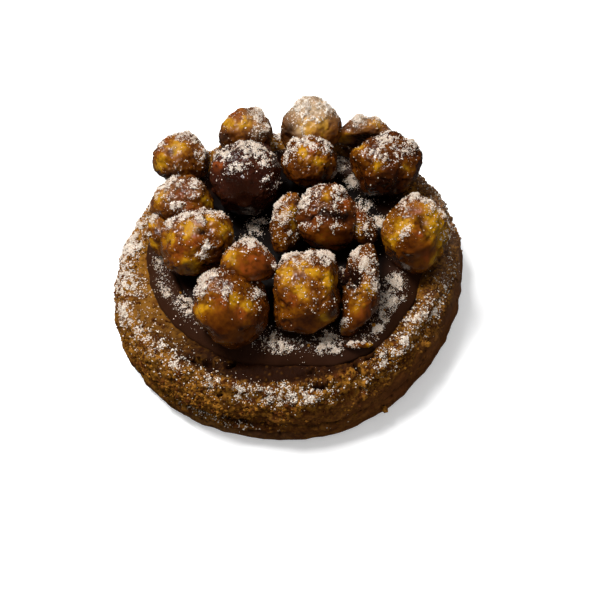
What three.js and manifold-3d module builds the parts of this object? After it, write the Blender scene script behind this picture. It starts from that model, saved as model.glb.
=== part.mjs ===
// A round hazelnut cookie: a thick crumbly biscuit with a pressed well, a disc of chocolate cream set in
// the well, and a heap of caramelised hazelnuts, whole, halved and broken, sunk a little into the cream.
//
// Millimetres, +Z up, with the origin at the middle of the flat underside. The front of the cookie,
// where it is looked at from above, is towards -Y.

import * as THREE from "three";
import Module from "manifold-3d";
import { mergeVertices } from "three/addons/utils/BufferGeometryUtils.js";

const wasm = await Module();
wasm.setup();

// ---------------------------------------------------------------- driving dimensions

const COOKIE_RADIUS = 38.6; // at its widest
const BASE_RADIUS = 36.6; // of the flat underside
const WIDEST_HEIGHT = 8.5;
const CROWN_RADIUS = 34.6; // the ridge between the side and the well
const CROWN_HEIGHT = 17.4;
const LIP_RADIUS = 30.2; // where the well begins
const LIP_HEIGHT = 16.3;
const WELL_FLOOR = 12;
const COOKIE_SEGMENTS = 100; // round the cookie

// The crumbly relief of the dough: how wide and how high its lumps, crags and split layers are.
const LUMP_SIZE = 5;
const LUMP_RISE = 0.5;
const CRAG_SIZE = 2.3;
const CRAG_RISE = 0.42;
const LAYER_LENGTH = 7;
const LAYER_THICKNESS = 1.9;
const LAYER_DEPTH = 0.9;

// The deep split in the side.
const SPLIT_MIDDLE = -131; // degrees round from +X
const SPLIT_WIDTH = 26; // degrees to either side
const SPLIT_HEIGHT = 7.6; // above the underside
const SPLIT_DEPTH = 1.3;
const SPLIT_GAPE = 1.3; // half its height where it opens

// The cracks in the crown, each [x, y, half length, heading in degrees, half width, depth].
const CRACKS = [
  [1.8, -34.9, 2.9, -3, 0.8, 1.2],
  [10.7, -31.9, 1.9, -62, 0.9, 1.6],
  [-20.1, -24.4, 3.2, -28, 0.9, 1.7],
  [-14, -26.2, 1, 20, 1.1, 1.6],
  [14, -30.4, 1.8, 28, 0.8, 1.2],
  [24.4, -19.6, 1.9, 38, 0.9, 1.5],
];

const CREAM_RADIUS = LIP_RADIUS - 0.6;
const CREAM_TOP = 19.2; // the raised edge of the cream
const CREAM_MIDDLE = 19;
const CREAM_WAVE_LENGTH = 8;
const CREAM_WAVE_RISE = 0.35;
const CREAM_SEGMENTS = 44;

const GAP = 0.3; // kept between two pieces that touch

// The viewpoint that the nuts' outlines are described from: in front of the cookie, looking down.
const VIEW_ELEVATION = 54;
const VIEW_ROLL = 10;

// ---------------------------------------------------------------- small helpers

const radians = THREE.MathUtils.degToRad;
const { smoothstep, lerp } = THREE.MathUtils;

// A fixed pseudo-random number from 0 to 1 for a cell of a grid.
function cellValue(ix, iy, iz, seed) {
  const s = Math.sin(ix * 127.1 + iy * 311.7 + iz * 74.7 + seed * 53.3) * 43758.5453;
  return s - Math.floor(s);
}

// Smooth random field from -1 to 1, with features about one unit across.
function noise(x, y, z, seed) {
  const ix = Math.floor(x);
  const iy = Math.floor(y);
  const iz = Math.floor(z);
  const fade = (t) => t * t * (3 - 2 * t);
  const fx = fade(x - ix);
  const fy = fade(y - iy);
  const fz = fade(z - iz);
  const row = (dy, dz) =>
    lerp(cellValue(ix, iy + dy, iz + dz, seed), cellValue(ix + 1, iy + dy, iz + dz, seed), fx);
  const sheet = (dz) => lerp(row(0, dz), row(1, dz), fy);
  return 2 * lerp(sheet(0), sheet(1), fz) - 1;
}

// A three.js geometry as a manifold-3d solid: seams merged and the slivers at the poles dropped.
function toSolid(geometry) {
  const bare = new THREE.BufferGeometry();
  bare.setAttribute("position", geometry.getAttribute("position"));
  bare.setIndex(geometry.getIndex());
  const merged = mergeVertices(bare, 1e-4);
  const index = merged.index ? merged.index.array : merged.getAttribute("position").array.map((_, i) => i);
  const triVerts = [];
  for (let i = 0; i < index.length; i += 3) {
    const [a, b, c] = [index[i], index[i + 1], index[i + 2]];
    if (a !== b && b !== c && c !== a) triVerts.push(a, b, c);
  }
  return new wasm.Manifold(
    new wasm.Mesh({
      numProp: 3,
      vertProperties: new Float32Array(merged.getAttribute("position").array),
      triVerts: new Uint32Array(triVerts),
    }),
  );
}

function toMesh(name, solid, material) {
  const made = solid.getMesh();
  const geometry = new THREE.BufferGeometry();
  geometry.setAttribute("position", new THREE.BufferAttribute(new Float32Array(made.vertProperties), 3));
  geometry.setIndex(new THREE.BufferAttribute(new Uint32Array(made.triVerts), 1));
  geometry.computeVertexNormals();
  const mesh = new THREE.Mesh(geometry, material);
  mesh.name = name;
  return mesh;
}

// A profile turned about Z, its points then moved by shift(point), which changes the vector it is given.
function turned(profile, segments, shift) {
  const geometry = new THREE.LatheGeometry(profile, segments);
  geometry.rotateX(Math.PI / 2);
  const position = geometry.getAttribute("position");
  const point = new THREE.Vector3();
  for (let i = 0; i < position.count; i++) {
    point.fromBufferAttribute(position, i);
    shift(point);
    position.setXYZ(i, point.x, point.y, point.z);
  }
  return toSolid(geometry);
}

// The points of a smooth curve through named corners, spread evenly along it.
function smoothProfile(corners, count) {
  const curve = new THREE.SplineCurve(corners.map(([r, z]) => new THREE.Vector2(r, z)));
  return curve.getSpacedPoints(count);
}

// ---------------------------------------------------------------- cookie

// A smooth swelling, 1 at the middle angle and fading to nothing `width` degrees away from it.
function swelling(angle, middle, width) {
  const turnsAway = (angle - radians(middle)) / (2 * Math.PI);
  const away = 360 * (turnsAway - Math.round(turnsAway));
  return Math.exp(-((away / width) ** 2));
}

// The cookie isn't quite round: how far its edge stands out at an angle, as a share of its radius.
function cookieOutline(angle) {
  return (
    1 -
    0.025 * swelling(angle, 150, 18) +
    0.006 * Math.cos(angle - radians(80)) +
    0.005 * Math.cos(2 * (angle - radians(25))) +
    0.005 * Math.cos(3 * (angle - radians(2))) +
    0.011 * Math.cos(4 * (angle - radians(16)))
  );
}

// Nor is the well: the cream bulges over it at the front right and falls short at the front and at the
// front left.
function wellOutline(angle) {
  const bulge = 0.07 * swelling(angle, -65, 25);
  return 1 + bulge - 0.066 * swelling(angle, -145, 38) - 0.055 * swelling(angle, -95, 22);
}

// Crumbly relief: broad lumps, rough layers that run round the side where the dough has split, and one
// deep split along the front left, between the crust above and the layer below.
function crumble({ x, y, z }, angle) {
  const lumps = noise(x / LUMP_SIZE, y / LUMP_SIZE, z / LUMP_SIZE, 1);
  const crags = noise(x / CRAG_SIZE, y / CRAG_SIZE, (1.35 * z) / CRAG_SIZE, 2);
  const layers = Math.max(0, noise(x / LAYER_LENGTH, y / LAYER_LENGTH, z / LAYER_THICKNESS, 3) - 0.25);
  const fromSplit = z - SPLIT_HEIGHT - noise(angle * 5, 0, 0, 4);
  const split = swelling(angle, SPLIT_MIDDLE, SPLIT_WIDTH) * Math.exp(-((fromSplit / SPLIT_GAPE) ** 2));
  return LUMP_RISE * lumps + CRAG_RISE * crags - LAYER_DEPTH * layers - SPLIT_DEPTH * split;
}

// How deep the cracks in the crown are at a place.
function crackDepth(x, y) {
  let depth = 0;
  for (const [middleX, middleY, halfLength, heading, halfWidth, deepest] of CRACKS) {
    const c = Math.cos(radians(heading));
    const s = Math.sin(radians(heading));
    const along = c * (x - middleX) + s * (y - middleY);
    const across = c * (y - middleY) - s * (x - middleX);
    depth += deepest * Math.exp(-((along / halfLength) ** 4) - (across / halfWidth) ** 2);
  }
  return depth;
}

// The profile runs from the middle of the underside out, up the side, over the crown and into the well.
function makeCookie() {
  const profile = [
    new THREE.Vector2(0, 0),
    new THREE.Vector2(BASE_RADIUS * 0.6, 0),
    ...smoothProfile(
      [
        [BASE_RADIUS, 0],
        [BASE_RADIUS + 1.3, 1.6],
        [COOKIE_RADIUS - 0.2, 4.8],
        [COOKIE_RADIUS, WIDEST_HEIGHT],
        [COOKIE_RADIUS - 0.6, 11.6],
        [CROWN_RADIUS + 2, 14.9],
        [CROWN_RADIUS, CROWN_HEIGHT],
        [LIP_RADIUS + 1.5, LIP_HEIGHT + 0.6],
        [LIP_RADIUS, LIP_HEIGHT - 0.6],
      ],
      18,
    ),
    new THREE.Vector2(LIP_RADIUS - 0.4, WELL_FLOOR),
    new THREE.Vector2(0, WELL_FLOOR),
  ];
  return turned(profile, COOKIE_SEGMENTS, (point) => {
    const radius = Math.hypot(point.x, point.y);
    const angle = Math.atan2(point.y, point.x);
    // The outline and the relief fade away towards the well and the flat underside.
    const out = smoothstep(radius, LIP_RADIUS, LIP_RADIUS + 3);
    const raised = smoothstep(point.z, 0, 2.5);
    const bump = crumble(point, angle) * out * raised;
    const wide = lerp(wellOutline(angle), cookieOutline(angle), out) + bump / COOKIE_RADIUS;
    point.x *= wide;
    point.y *= wide;
    const top = smoothstep(point.z, WELL_FLOOR, CROWN_HEIGHT);
    point.z += top * (bump - crackDepth(point.x, point.y));
  });
}

// ---------------------------------------------------------------- chocolate cream

function makeCream() {
  const profile = [
    new THREE.Vector2(0, WELL_FLOOR + GAP),
    new THREE.Vector2(CREAM_RADIUS - 0.6, WELL_FLOOR + GAP),
    ...smoothProfile(
      [
        [CREAM_RADIUS - 0.2, LIP_HEIGHT - 0.4],
        [CREAM_RADIUS - 0.1, LIP_HEIGHT + 1.2],
        [CREAM_RADIUS - 0.9, CREAM_TOP - 0.9],
        [CREAM_RADIUS - 2.6, CREAM_TOP],
        [CREAM_RADIUS - 5.4, CREAM_TOP - 0.5],
        [CREAM_RADIUS - 9, CREAM_MIDDLE],
      ],
      8,
    ),
    new THREE.Vector2(CREAM_RADIUS * 0.42, CREAM_MIDDLE),
    new THREE.Vector2(0, CREAM_MIDDLE),
  ];
  return turned(profile, CREAM_SEGMENTS, (point) => {
    const top = smoothstep(point.z, LIP_HEIGHT, CREAM_TOP - 0.6);
    const wave = noise(point.x / CREAM_WAVE_LENGTH, point.y / CREAM_WAVE_LENGTH, 0, 4);
    const swell = noise(point.x / CREAM_WAVE_LENGTH, point.y / CREAM_WAVE_LENGTH, 1, 5);
    const edge = wellOutline(Math.atan2(point.y, point.x)) + (top * (0.3 * swell - 0.2)) / CREAM_RADIUS;
    point.x *= edge;
    point.y *= edge;
    point.z += top * CREAM_WAVE_RISE * wave;
  });
}

// ---------------------------------------------------------------- hazelnuts

// Each nut is one rounded lump. `at` is its middle and `half` its half width, height and depth as seen
// from the viewpoint, with its outline turned by `turn` degrees anticlockwise. Each flat is
// [clock, towards, reach]: a facet whose outward direction is `clock` degrees anticlockwise from the
// viewer's right and `towards` degrees out of the picture towards the viewer, `reach` millimetres from
// the middle. A hollow, [clock, towards, depth], is the dent in the flat side of a half nut.
const NUTS = [
  {
    name: "nut_upper_half",
    at: [-6.7, -11.8, 30.2],
    half: [6.1, 4.3, 4.9],
    turn: -8,
    flats: [[-92, 5, 3.9], [140, 15, 4.4], [38, 10, 4]],
  },
  {
    name: "nut_front_left",
    at: [-11.9, -18.1, 24.8],
    half: [7.8, 8.7, 7.3],
    turn: 0,
    flats: [[-48, 5, 7.9], [-135, 5, 7.1], [135, 10, 7.8], [35, 30, 7]],
  },
  {
    name: "nut_front",
    at: [3.7, -17.2, 24.8],
    half: [8.6, 10, 7.6],
    turn: 0,
    flats: [[180, 0, 6.4], [0, 10, 6], [92, 12, 7.3], [-92, 0, 8.8], [137, 5, 7.2], [-48, 5, 8]],
  },
  {
    name: "nut_left_front",
    at: [-17, -0.3, 25],
    half: [8.6, 7.2, 7.2],
    turn: 18,
    flats: [[115, 15, 6.4], [190, 10, 7.8], [10, 0, 8], [-65, 20, 6.7]],
  },
  {
    name: "nut_right",
    at: [27.7, -7.9, 24.9],
    half: [6.8, 8.2, 6.9],
    turn: -8,
    flats: [[60, 15, 7.3], [130, 10, 6.9], [-140, 10, 6.6], [-10, 30, 6.2]],
  },
  {
    name: "nut_centre",
    at: [10.9, -0.4, 25.6],
    half: [7, 7.3, 6.6],
    turn: 0,
    flats: [[40, 15, 6.4], [140, 10, 6.7], [-90, 20, 6.6], [0, 0, 6.1]],
  },
  {
    name: "nut_dark",
    at: [-4.9, 14.5, 26.2],
    half: [7.8, 8.2, 7.8],
    turn: 0,
    flats: [[100, 30, 7.7]],
  },
  {
    name: "nut_middle_back",
    at: [9.5, 16.4, 25.4],
    half: [6.2, 5.9, 6.1],
    turn: 0,
    flats: [[70, 10, 5.7], [180, 20, 5.8], [0, 10, 5.8]],
  },
  {
    name: "nut_right_back",
    at: [25.7, 11.7, 25.7],
    half: [8.5, 7.3, 7],
    turn: 5,
    flats: [[45, 5, 6.9], [120, 10, 6.6], [-22, 10, 6.9], [200, 10, 7]],
  },
  {
    name: "nut_back_middle",
    at: [11.2, 26.4, 26],
    half: [7, 6.8, 6.6],
    turn: 0,
    flats: [[135, 0, 5.8], [48, 0, 6]],
  },
  {
    name: "nut_back",
    at: [-3.4, 29.3, 25],
    half: [6.5, 5.8, 6.2],
    turn: 15,
    flats: [[130, 0, 4.8], [20, 0, 5.7]],
  },
  {
    name: "nut_back_left",
    at: [-18.6, 25.5, 23.9],
    half: [6.6, 5.9, 6.2],
    turn: 10,
    flats: [[40, 0, 5.8]],
  },
  {
    name: "nut_left_back",
    at: [-19.5, 11.3, 25],
    half: [6.9, 5.8, 6.2],
    turn: 8,
    flats: [[140, 10, 5.9]],
  },
  {
    name: "nut_left_piece",
    at: [-25, 5.6, 22.2],
    half: [3, 4.6, 3.8],
    turn: 15,
    flats: [[20, 10, 2.8]],
  },
  {
    name: "nut_centre_half",
    at: [2, 0.5, 24.6],
    half: [3.4, 7.1, 4.8],
    turn: -10,
    flats: [[-5, 30, 2.8], [100, 20, 6.4]],
  },
  {
    name: "nut_centre_piece",
    at: [16.9, -2.1, 23.9],
    half: [3.1, 5.2, 3.8],
    turn: 38,
    flats: [[40, 20, 2.8], [-80, 0, 4.6]],
  },
  {
    name: "nut_back_half",
    at: [23.1, 23.8, 23.4],
    half: [7.2, 4, 5],
    turn: -6,
    flats: [[-90, 20, 2.2], [130, 0, 4.4], [40, 0, 4.4]],
  },
  {
    name: "skin_fragment",
    at: [11.3, -14, 22.7],
    half: [3.4, 2.6, 3.4],
    turn: -20,
    flats: [[80, 20, 1.8]],
  },
  {
    name: "nut_front_half",
    at: [14.4, -18.7, 23.7],
    half: [4.6, 9.8, 4.6],
    turn: -13,
    flats: [[3, 10, 3.5], [-40, 5, 5], [178, 5, 3.6]],
    hollow: [152, 10, 3],
  },
  {
    name: "caramel_shard",
    at: [12, -28.2, 18.5],
    half: [3.1, 0.7, 1.2],
    turn: 2,
    flats: [[90, 20, 0.55], [-90, 0, 0.6]],
  },
];
const NUT_DETAIL = 3; // subdivisions of the icosahedron
const HALF_DETAIL = 4; // finer where a nut has a hollow side
const CHIP_DETAIL = 2; // coarser for the small chips
const FACET_SHARPNESS = 9; // how crisply a nut's flats meet
const NUT_LUMPS = 0.055; // how uneven a nut is, as a share of its size

// The viewer's right, up and towards axes in the cookie's frame.
function viewFrame() {
  const elevation = radians(VIEW_ELEVATION);
  const level = new THREE.Matrix4().makeBasis(
    new THREE.Vector3(1, 0, 0),
    new THREE.Vector3(0, Math.sin(elevation), Math.cos(elevation)),
    new THREE.Vector3(0, -Math.cos(elevation), Math.sin(elevation)),
  );
  return level.multiply(new THREE.Matrix4().makeRotationZ(radians(-VIEW_ROLL)));
}

// A direction in the picture, from its clock angle and its lean towards the viewer.
function seen(clock, towards) {
  const c = radians(clock);
  const t = radians(towards);
  return new THREE.Vector3(Math.cos(c) * Math.cos(t), Math.sin(c) * Math.cos(t), Math.sin(t));
}

// How far a nut's surface is from its middle in a direction: an ellipsoid cut by its flats, all joined
// by a smooth minimum so that the edges are round, with gentle lumps, and a dent where it is hollow.
function nutReach(nut, direction, seed) {
  const upright = direction.clone().applyAxisAngle(new THREE.Vector3(0, 0, 1), radians(-nut.turn));
  const [w, h, d] = nut.half;
  const inverse = Math.hypot(upright.x / w, upright.y / h, upright.z / d);
  let sum = inverse ** FACET_SHARPNESS;
  for (const [clock, towards, reach] of nut.flats) {
    const facing = direction.dot(seen(clock, towards)) / reach;
    if (facing > 0) sum += facing ** FACET_SHARPNESS;
  }
  const smooth = sum ** (-1 / FACET_SHARPNESS);
  const lumps = 1 + NUT_LUMPS * noise(direction.x * 1.7, direction.y * 1.7, direction.z * 1.7, seed);
  let dent = 0;
  if (nut.hollow) {
    const [clock, towards, depth] = nut.hollow;
    const across = direction.dot(seen(clock, towards));
    dent = depth * smoothstep(across, 0.35, 1);
  }
  return Math.max(smooth * lumps - dent, 0.5);
}

function nutDetail(nut) {
  if (nut.hollow) return HALF_DETAIL;
  return Math.max(...nut.half) < 5 ? CHIP_DETAIL : NUT_DETAIL;
}

// A nut as a solid. `grown` is an extra skin, for cutting the room that its neighbours leave it.
function makeNut(nut, seed, grown = 0) {
  const geometry = new THREE.IcosahedronGeometry(1, nutDetail(nut));
  const position = geometry.getAttribute("position");
  const frame = viewFrame();
  const direction = new THREE.Vector3();
  for (let i = 0; i < position.count; i++) {
    direction.fromBufferAttribute(position, i).normalize();
    const point = direction.clone().multiplyScalar(nutReach(nut, direction, seed) + grown);
    point.applyMatrix4(frame).add(new THREE.Vector3(...nut.at));
    position.setXYZ(i, point.x, point.y, point.z);
  }
  return toSolid(geometry);
}

// ---------------------------------------------------------------- assembly

const finish = (color, roughness) => new THREE.MeshStandardMaterial({ color, roughness, metalness: 0 });
const BISCUIT = finish(0x6b4218, 0.85);
const CHOCOLATE = finish(0x2b140b, 0.45);
const CARAMEL = finish(0x9a5c14, 0.3);
const DARK_SKIN = finish(0x3a160a, 0.35);

const cookie = new THREE.Group();
cookie.add(toMesh("cookie", makeCookie(), BISCUIT));

const isDark = (nut) => nut.name === "nut_dark" || nut.name === "skin_fragment";

// Each nut gives way to those before it in the list, and the cream gives way to all of them.
let cream = makeCream();
const placed = [];
NUTS.forEach((nut, i) => {
  let solid = makeNut(nut, 10 + i);
  for (const room of placed) solid = solid.subtract(room);
  const room = makeNut(nut, 10 + i, GAP * 1.25); // a little over, as its flats lie inside its corners
  placed.push(room);
  cream = cream.subtract(room);
  cookie.add(toMesh(nut.name, solid, isDark(nut) ? DARK_SKIN : CARAMEL));
});
cookie.add(toMesh("chocolate_cream", cream, CHOCOLATE));

export default cookie;
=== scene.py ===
import itertools

import bpy
import numpy as np
from mathutils import Matrix


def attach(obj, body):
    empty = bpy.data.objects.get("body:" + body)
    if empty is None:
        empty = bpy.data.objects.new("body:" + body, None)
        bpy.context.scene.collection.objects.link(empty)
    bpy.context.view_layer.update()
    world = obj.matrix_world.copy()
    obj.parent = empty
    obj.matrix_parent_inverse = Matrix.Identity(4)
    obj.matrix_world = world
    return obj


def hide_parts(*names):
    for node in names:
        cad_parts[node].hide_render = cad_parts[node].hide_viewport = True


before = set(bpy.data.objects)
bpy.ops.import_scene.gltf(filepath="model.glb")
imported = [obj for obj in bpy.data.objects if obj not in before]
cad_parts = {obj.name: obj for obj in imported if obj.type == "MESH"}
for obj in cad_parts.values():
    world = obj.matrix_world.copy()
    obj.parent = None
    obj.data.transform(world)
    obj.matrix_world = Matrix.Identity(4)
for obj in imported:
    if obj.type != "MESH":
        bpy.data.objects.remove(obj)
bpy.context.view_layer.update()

# A round hazelnut cookie, seen from the front and above. Its sizes are in millimetres, and the mesh makers
# turn them into Blender's metres. Only the floor and the depths of bumps in materials are in metres.

# ======== the biscuit
# The thick round base: brown short dough pressed into a ring with a sunk middle, then baked until its
# crown cracked. The crown is crumbly; its crumbs vary in tone, their high points carry painted light and
# its pits, cracks and hollows carry painted shade. The side is darker and smoother.

COOKIE_RADIUS = 38.6  # at its widest
BASE_RADIUS = 36.6
WIDEST_HEIGHT = 8.5
CROWN_RADIUS = 34.6
CROWN_HEIGHT = 17.4
LIP_RADIUS = 30.2  # where the well for the cream begins
LIP_HEIGHT = 16.3
WELL_FLOOR = 12
UNDERSIDE_SHARES = (0, 0.6, 0.9)  # rings on the underside, as shares of its radius
BISCUIT_AROUND = 960  # places round each ring
BISCUIT_RINGS = 94  # rings from the underside to the well
# The edge's slow waves: count round, degrees of the first crest, share of the radius.
EDGE_WAVES = [(1, 80, 0.006), (2, 25, 0.005), (3, 2, 0.005), (4, 16, 0.011)]
EDGE_FLAT, EDGE_FLAT_DEPTH = (150, 18), 0.025
# Where the well bulges or falls short: middle and width in degrees, share of the radius.
WELL_BULGES = [(-65, 25, 0.07), (-145, 38, -0.066), (-95, 22, -0.055)]

# Stretches of the rim as (middle, width) in degrees, where 0 is the right and -90 the front.
FRONT_ARC = -105, 60
CRAGGY_ARC = -140, 60
SPLIT_ARC = -131, 26
SHELF_ARC = -118, 22  # the ledge over the smooth foot
GOLDEN_ARC = -165, 45
SUGARY_ARC = -165, 50
HAZY_ARC = 5, 30  # where the finest sugar dulls the side

LUMP_SIZE, LUMP_RISE = 5, 0.5
CRAG_SIZE, CRAG_RISE = 2.3, 0.42
LAYER_LENGTH, LAYER_THICKNESS, LAYER_DEPTH = 7, 1.9, 0.9
SPLIT_HEIGHT, SPLIT_DEPTH, SPLIT_GAPE = 7.6, 1.3, 1.3
SHELF_HEIGHT, SHELF_GAPE = 6.2, 1.1
# Each crack in the crown: x, y, half length, heading in degrees, half width, depth.
CRACKS = [
    [1.8, -34.9, 2.9, -3, 0.8, 1.2],
    [10.7, -31.9, 1.9, -62, 0.9, 1.6],
    [-20.1, -24.4, 3.2, -28, 0.9, 1.7],
    [-14, -26.2, 1, 20, 1.1, 1.9],
    [14, -30.4, 1.8, 28, 0.8, 1.2],
    [24.4, -19.6, 1.9, 38, 0.9, 1.5],
    [1, -31.3, 2, 8, 0.7, 0.9],
    [-17.3, -31.6, 0.7, 0, 0.8, 1.4],
]
# Each fissure that runs round the side: middle and half length in degrees, height, half gape, depth.
FISSURES = [
    [-133, 25, 7.6, 0.75, 2.2], [-112, 14, 4.2, 0.6, 1.5], [-86, 13, 7, 0.5, 1.1], [-60, 9, 5.6, 0.45, 0.8],
]
# Each bump on the side, or nick where it is negative: x, y, z, half size, rise.
SIDE_BUMPS = [
    [15.7, -37.2, 5, 0.7, 1.4], [-12.2, -36.8, 2, 1, -1.2], [25, -30.5, 3.5, 2.8, -1.4],
    [27.8, -28.2, 9, 2.4, 0.8], [26.4, -27, 12.4, 1, 0.9], [11.3, -36.2, 11.5, 1.3, 0.7],
]
CRUMB_SIZE, CRUMB_RISE = 1.2, 0.3
FINE_CRUMB_SIZE, FINE_CRUMB_RISE = 0.6, 0.28
DOME_REACH = 0.85  # half the width of a crumb's dome, in cells
PIT_SPACING, PIT_DEPTH = 1.7, 0.6
CRACK_SINK = 0.4  # the share of a crack's depth that the broad shape takes

SUGAR_RISE = 0.14  # how far a full coat of sugar stands off what it lies on
# How thickly sugar lies: in a patch, how much more on the sugary arc, anywhere at all, and on the ledge.
PATCH_COAT, SUGARY_COAT, LOOSE_COAT, SHELF_COAT = 0.25, 0.16, 0.07, 0.15
PATCH_SPREAD = 1.3

# Patches of powdered sugar on the crown: degrees round, distance out, half size.
CROWN_SUGAR = [
    [-174, 28.9, 2.6], [-160, 29.5, 1.7], [-154, 34.3, 1.5], [-146, 31.5, 1.9], [-136, 30.6, 2.6],
    [-125, 31.8, 1.3], [-139, 33.3, 2.1], [-122, 34.7, 1.1], [-106, 33.8, 1.5], [-98, 33.3, 1.9],
    [-94, 35.8, 1.7], [-89, 37.3, 2.1], [-82, 39.3, 2.1], [-100, 37.1, 2.1], [-73, 40, 1.9],
    [-64, 35.9, 2.1], [-61, 37.2, 1.9], [-54, 35.8, 1.7], [-45, 32.8, 1.9], [-39, 35.6, 1.9],
    [-38, 37.4, 1.7], [-26, 37.3, 1.5], [-20, 37.3, 1.3], [-3, 34.3, 2.6], [167, 33.9, 3],
    [-179, 33.8, 2.6], [-111, 36.4, 1.7], [-166, 35.8, 1.9], [48, 35, 2.4], [66, 36, 2], [85, 35, 2.6],
    [104, 36.5, 2], [122, 35, 2.4], [140, 34, 2.2], [154, 35, 2],
]
# The viewer's right, up and towards directions, as the columns of a matrix.
VIEW = np.array([[0.9848, 0.1736, 0], [-0.1405, 0.7967, -0.5878], [-0.1021, 0.5789, 0.809]])
SIGHT = -VIEW[:, 2]


def cell_value(cell, seed):
    """A fixed random number from 0 to 1 for each cell of a grid: the fraction of a large multiple of the
    sine of the cell's three numbers, weighted and added up with the seed."""
    wave = np.sin(cell @ np.array([127.1, 311.7, 74.7]) + seed * 53.3) * 43758.5453
    return wave - np.floor(wave)


def noise(p, seed):
    """A smooth random field from -1 to 1 with features about one unit across: the random numbers of the
    eight cells round a point, each weighted by how near it is."""
    cell = np.floor(p)
    part = p - cell
    part = part * part * (3 - 2 * part)
    total = np.zeros(p.shape[:-1])
    for step in itertools.product((0, 1), repeat=3):
        share = np.prod(np.where(step, part, 1 - part), axis=-1)
        total += share * cell_value(cell + step, seed)
    return 2 * total - 1


def nearest_crumb(p, seed):
    """Every cell of a grid holds one crumb at a random place in it. Returns how far each point is from
    the nearest crumb's middle, and that crumb's own random number."""
    cell = np.floor(p)
    distance = np.full(p.shape[:-1], 9.0)
    own = np.zeros(p.shape[:-1])
    for step in itertools.product((-1, 0, 1), repeat=3):
        there = cell + step
        middle = there + np.stack([cell_value(there, seed + k) for k in range(3)], -1)
        away = np.linalg.norm(p - middle, axis=-1)
        own = np.where(away < distance, cell_value(there, seed + 3), own)
        distance = np.minimum(distance, away)
    return distance, own


def domes(p, seed):
    """Crumbs as rounded domes of different heights: the height is the root of one less the squared
    distance from the nearest crumb's middle."""
    distance, own = nearest_crumb(p, seed)
    return np.sqrt(np.maximum(0, 1 - (distance / DOME_REACH) ** 2)) * (0.4 + 0.6 * own)


def smooth_step(x, low, high):
    """0 below low, 1 above high, and an even S-shaped rise between them."""
    t = np.clip((x - low) / (high - low), 0, 1)
    return t * t * (3 - 2 * t)


def bell(away):
    """A bell curve: the exponential of minus the squared distance, 1 in the middle."""
    return np.exp(-(away**2))


def swelling(angle, middle, width):
    """A bell round the cookie: 1 at the middle angle, fading `width` degrees to either side."""
    return bell(((np.degrees(angle) - middle + 180) % 360 - 180) / width)


def smooth_profile(corners, count):
    """count + 1 points spread evenly along a Catmull-Rom curve through the corners: each span is a cubic
    whose slope at a corner is half the step between that corner's two neighbours."""
    c = np.array(corners, float)
    c = np.vstack([c[:1], c, c[-1:]])
    t = np.linspace(0, 1, 60)[:, None]
    spans = []
    for before, start, end, after in zip(c, c[1:], c[2:], c[3:]):
        leave, arrive = (end - before) / 2, (after - start) / 2
        cubic = 2 * start - 2 * end + leave + arrive
        square = 3 * end - 3 * start - 2 * leave - arrive
        spans.append(cubic * t**3 + square * t**2 + leave * t + start)
    path = np.vstack(spans)
    travelled = np.append(0, np.cumsum(np.linalg.norm(np.diff(path, axis=0), axis=1)))
    where = np.linspace(0, travelled[-1], count + 1)
    return np.column_stack([np.interp(where, travelled, path[:, k]) for k in range(2)])


def turned(profile, around):
    """A profile of (radius, height) carried round the upright axis: one ring of points for each of its
    points, the radius times the cosine and sine of the angle."""
    angle = np.linspace(0, 2 * np.pi, around, endpoint=False)
    radius, height = profile[:, :1], profile[:, 1:]
    return np.stack([radius * np.cos(angle), radius * np.sin(angle), height + 0 * angle], -1)


def facing(rings):
    """The outward direction at each point of a ringed surface: square to the line round it and the line
    along it. At a pole it is the average of the ring beside it."""
    along = np.gradient(rings, axis=0)
    beside = np.roll(rings, -1, axis=1) - np.roll(rings, 1, axis=1)
    out = np.cross(beside, along)
    out[0], out[-1] = out[1].mean(axis=0), out[-2].mean(axis=0)
    return out / np.maximum(np.linalg.norm(out, axis=-1, keepdims=True), 1e-12)


def one_pole(grid):
    """A grid of rings as a plain row: the first and last rings are poles, so each gives one entry."""
    between = grid[1:-1].reshape(-1, *grid.shape[2:])
    return np.concatenate([grid[:1, 0], between, grid[-1:, 0]])


def linked(name, data):
    """A new object over that data, in the scene."""
    made = bpy.data.objects.new(name, data)
    bpy.context.scene.collection.objects.link(made)
    return made


def meshed(name, points, faces, marks, material):
    """A mesh piece of points in millimetres. Each mark is a value at every point that the material reads
    by name."""
    mesh = bpy.data.meshes.new(name)
    mesh.from_pydata((points / 1000).tolist(), [], faces)
    for label, values in marks.items():
        layer = mesh.attributes.new(label, "FLOAT", "POINT")
        layer.data.foreach_set("value", values.astype(np.float32))
    mesh.materials.append(material)
    return linked(name, mesh)


def skin(name, rings, marks, material):
    """A closed smooth piece over rings of points: neighbouring rings are joined by quads, and the rings
    next to the poles by fans."""
    count, around = rings.shape[0] - 2, rings.shape[1]
    place = 1 + np.arange(count * around).reshape(count, around)
    beside = np.roll(place, -1, axis=1)
    quads = np.stack([place[:-1], beside[:-1], beside[1:], place[1:]], -1).reshape(-1, 4)
    first = np.stack([np.zeros(around, int), beside[0], place[0]], -1)
    last = np.stack([place[-1], beside[-1], np.full(around, count * around + 1)], -1)
    faces = quads.tolist() + first.tolist() + last.tolist()
    marks = {label: one_pole(values) for label, values in marks.items()}
    piece = meshed(name, one_pole(rings), faces, marks, material)
    piece.data.polygons.foreach_set("use_smooth", np.ones(len(faces), bool))
    return piece


def biscuit_outline(angle):
    """How far the edge stands out at an angle, as a share of the radius: a flattened place at the back
    left and four slow cosine waves."""
    share = 1 - EDGE_FLAT_DEPTH * swelling(angle, *EDGE_FLAT)
    for count, crest, rise_share in EDGE_WAVES:
        share = share + rise_share * np.cos(count * (angle - np.radians(crest)))
    return share


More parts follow.
